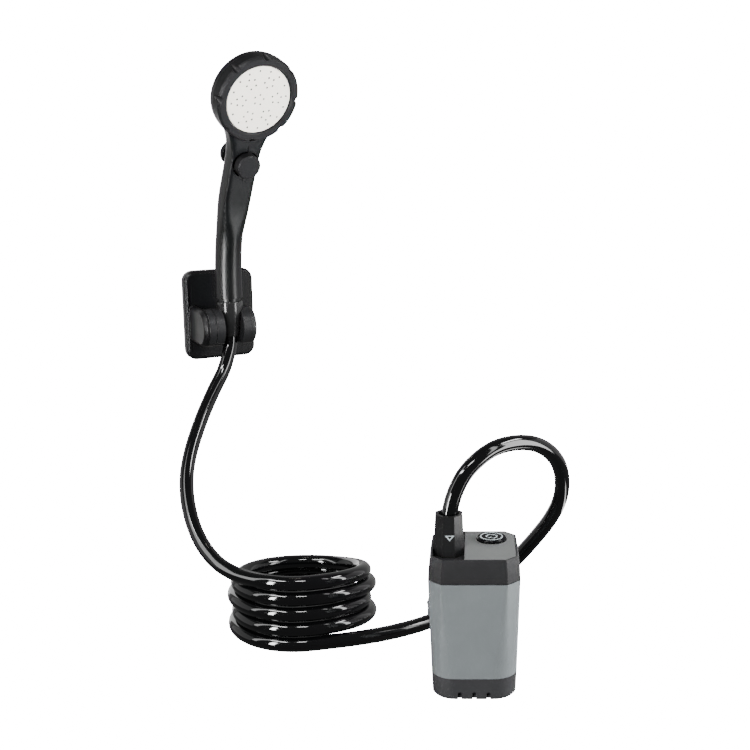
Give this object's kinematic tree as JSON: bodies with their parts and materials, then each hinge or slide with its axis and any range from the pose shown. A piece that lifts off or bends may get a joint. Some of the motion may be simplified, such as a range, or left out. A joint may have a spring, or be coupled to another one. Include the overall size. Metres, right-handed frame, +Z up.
{
  "type": "camp shower pump kit",
  "caption": "Battery shower pump with a coiled hose, a hand shower with a push valve, and a tilting wall holder, for washing outdoors from a bucket.",
  "frame": {"origin": "centre of the pump's foot, on the floor it stands on", "axes": "+Z up, -Y towards the pump's front, -X towards its charging port"},
  "size_m": [0.3561, 0.325, 0.4908],
  "materials": {
    "housing_dark": "satin",
    "sleeve_grey": "satin",
    "cover_grey": "matte",
    "panel_grey": "satin",
    "button_black": "gloss",
    "light_ring": "satin",
    "seal_black": "matte",
    "connector_dark": "satin",
    "fitting_grey": "satin",
    "impeller_white": "satin",
    "frame_ivory": "matte",
    "filter_foam": "matte",
    "can_metal": "satin",
    "cell_wrap": "gloss",
    "board_green": "satin",
    "switch_black": "satin",
    "steel": "satin",
    "hose_black": "gloss",
    "nut_black": "gloss",
    "handset_black": "satin",
    "holder_black": "satin",
    "pad_red": "matte"
  },
  "bodies": {
    "kit": {"base_cover": "housing_dark", "top_cap": "housing_dark", "body_sleeve": "sleeve_grey", "top_panel": "panel_grey", "cap_gasket": "seal_black", "button_seal": "seal_black", "nipple_seal": "seal_black", "shaft_seal": "seal_black", "connector_sleeve": "connector_dark", "outlet_nipple": "fitting_grey", "outlet_pipe": "fitting_grey", "pump_chamber": "fitting_grey", "inner_frame": "frame_ivory", "intake_filter": "filter_foam", "motor": "can_metal", "battery_cells": "cell_wrap", "circuit_board": "board_green", "tact_switch": "switch_black", "chamber_screws": "steel", "board_screws": "steel", "charge_socket": "steel", "pivot_screw": "steel", "hose_feed": "hose_black", "hose_coil": "hose_black", "hose_rise": "hose_black", "wall_plate": "holder_black", "friction_disc": "holder_black", "adhesive_pad": "pad_red"},
    "button": {"power_button": "button_black", "button_ring": "light_ring"},
    "port_flap": {"port_cover": "cover_grey"},
    "rotor": {"impeller": "impeller_white", "motor_shaft": "steel"},
    "cradle": {"cradle": "holder_black", "end_cap": "holder_black"},
    "handset": {"hose_nut": "nut_black", "hose_tail": "fitting_grey", "nut_washer": "seal_black", "handle": "handset_black", "flow_plate": "fitting_grey", "face_gasket": "seal_black", "spray_face": "steel"},
    "valve": {"valve_spool": "handset_black", "spool_seals": "seal_black", "rear_knob": "handset_black"},
    "ring": {"head_ring": "handset_black"}
  },
  "joints": [
    {"name": "button_press", "type": "slide", "parent": "kit", "child": "button", "axis": [0, 0, -1], "range_m": [0, 0.001], "stiffness_N_per_m": 1500},
    {"name": "flap_hinge", "type": "hinge", "parent": "kit", "child": "port_flap", "pos_m": [-0.03541, 0, 0.0585], "axis": [0, -1, 0], "range_deg": [0, 100]},
    {"name": "impeller_spin", "type": "hinge", "parent": "kit", "child": "rotor", "pos_m": [0.009, -0.01, 0.015], "axis": [0, 0, 1], "continuous": true},
    {"name": "holder_tilt", "type": "hinge", "parent": "kit", "child": "cradle", "pos_m": [-0.229, 0.24, 0.243], "axis": [0.866, 0.5, 0], "range_deg": [-12, 40], "deforming": ["hose_rise"]},
    {"name": "handset_lift", "type": "slide", "parent": "cradle", "child": "handset", "axis": [0, 0, 1], "range_m": [0, 0.03], "deforming": ["hose_rise"]},
    {"name": "valve_push", "type": "slide", "parent": "handset", "child": "valve", "axis": [-0.5872, 0.6998, 0.4067], "range_m": [0, 0.006]},
    {"name": "ring_turn", "type": "hinge", "parent": "handset", "child": "ring", "pos_m": [-0.19249, 0.19649, 0.4542], "axis": [0.5872, -0.6998, -0.4067], "range_deg": [0, 30]}
  ]
}
